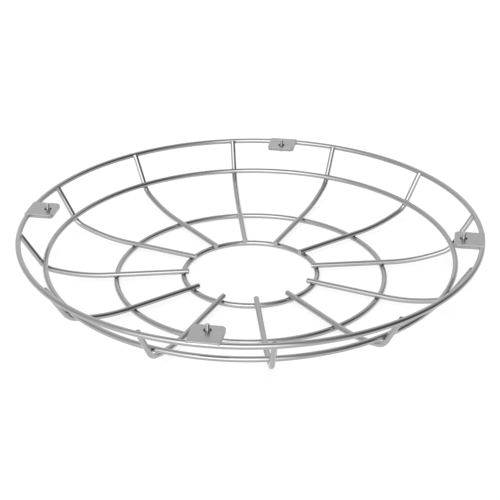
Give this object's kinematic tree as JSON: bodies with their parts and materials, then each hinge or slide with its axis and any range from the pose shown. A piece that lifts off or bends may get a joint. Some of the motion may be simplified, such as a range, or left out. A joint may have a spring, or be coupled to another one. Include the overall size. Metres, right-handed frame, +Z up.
{
  "type": "bulb cage guard",
  "caption": "Shallow round bowl guard of welded steel wire for a lamp: bent radial wires on concentric rings, with drilled rim tabs and upright fixing screws.",
  "frame": {"origin": "centre of the base on the guard's axis, on the plane that the inner and middle rings rest on", "axes": "+Z up along the guard's axis, towards the rim and the screws; +X and +Y through the middle of a tab"},
  "size_m": [0.3412, 0.3412, 0.0477],
  "materials": {
    "steel_wire": "satin",
    "steel_tab": "satin",
    "steel_screw": "bright"
  },
  "bodies": {
    "root": {"outer_rim": "steel_wire", "shoulder_ring": "steel_wire", "middle_ring": "steel_wire", "inner_ring": "steel_wire", "radial_wire_01": "steel_wire", "radial_wire_02": "steel_wire", "radial_wire_03": "steel_wire", "radial_wire_04": "steel_wire", "radial_wire_05": "steel_wire", "radial_wire_06": "steel_wire", "radial_wire_07": "steel_wire", "radial_wire_08": "steel_wire", "radial_wire_09": "steel_wire", "radial_wire_10": "steel_wire", "radial_wire_11": "steel_wire", "radial_wire_12": "steel_wire", "mounting_tab_1": "steel_tab", "mounting_tab_2": "steel_tab", "mounting_tab_3": "steel_tab", "mounting_tab_4": "steel_tab", "tab_screw_1": "steel_screw", "tab_screw_2": "steel_screw", "tab_screw_3": "steel_screw", "tab_screw_4": "steel_screw"}
  },
  "joints": []
}
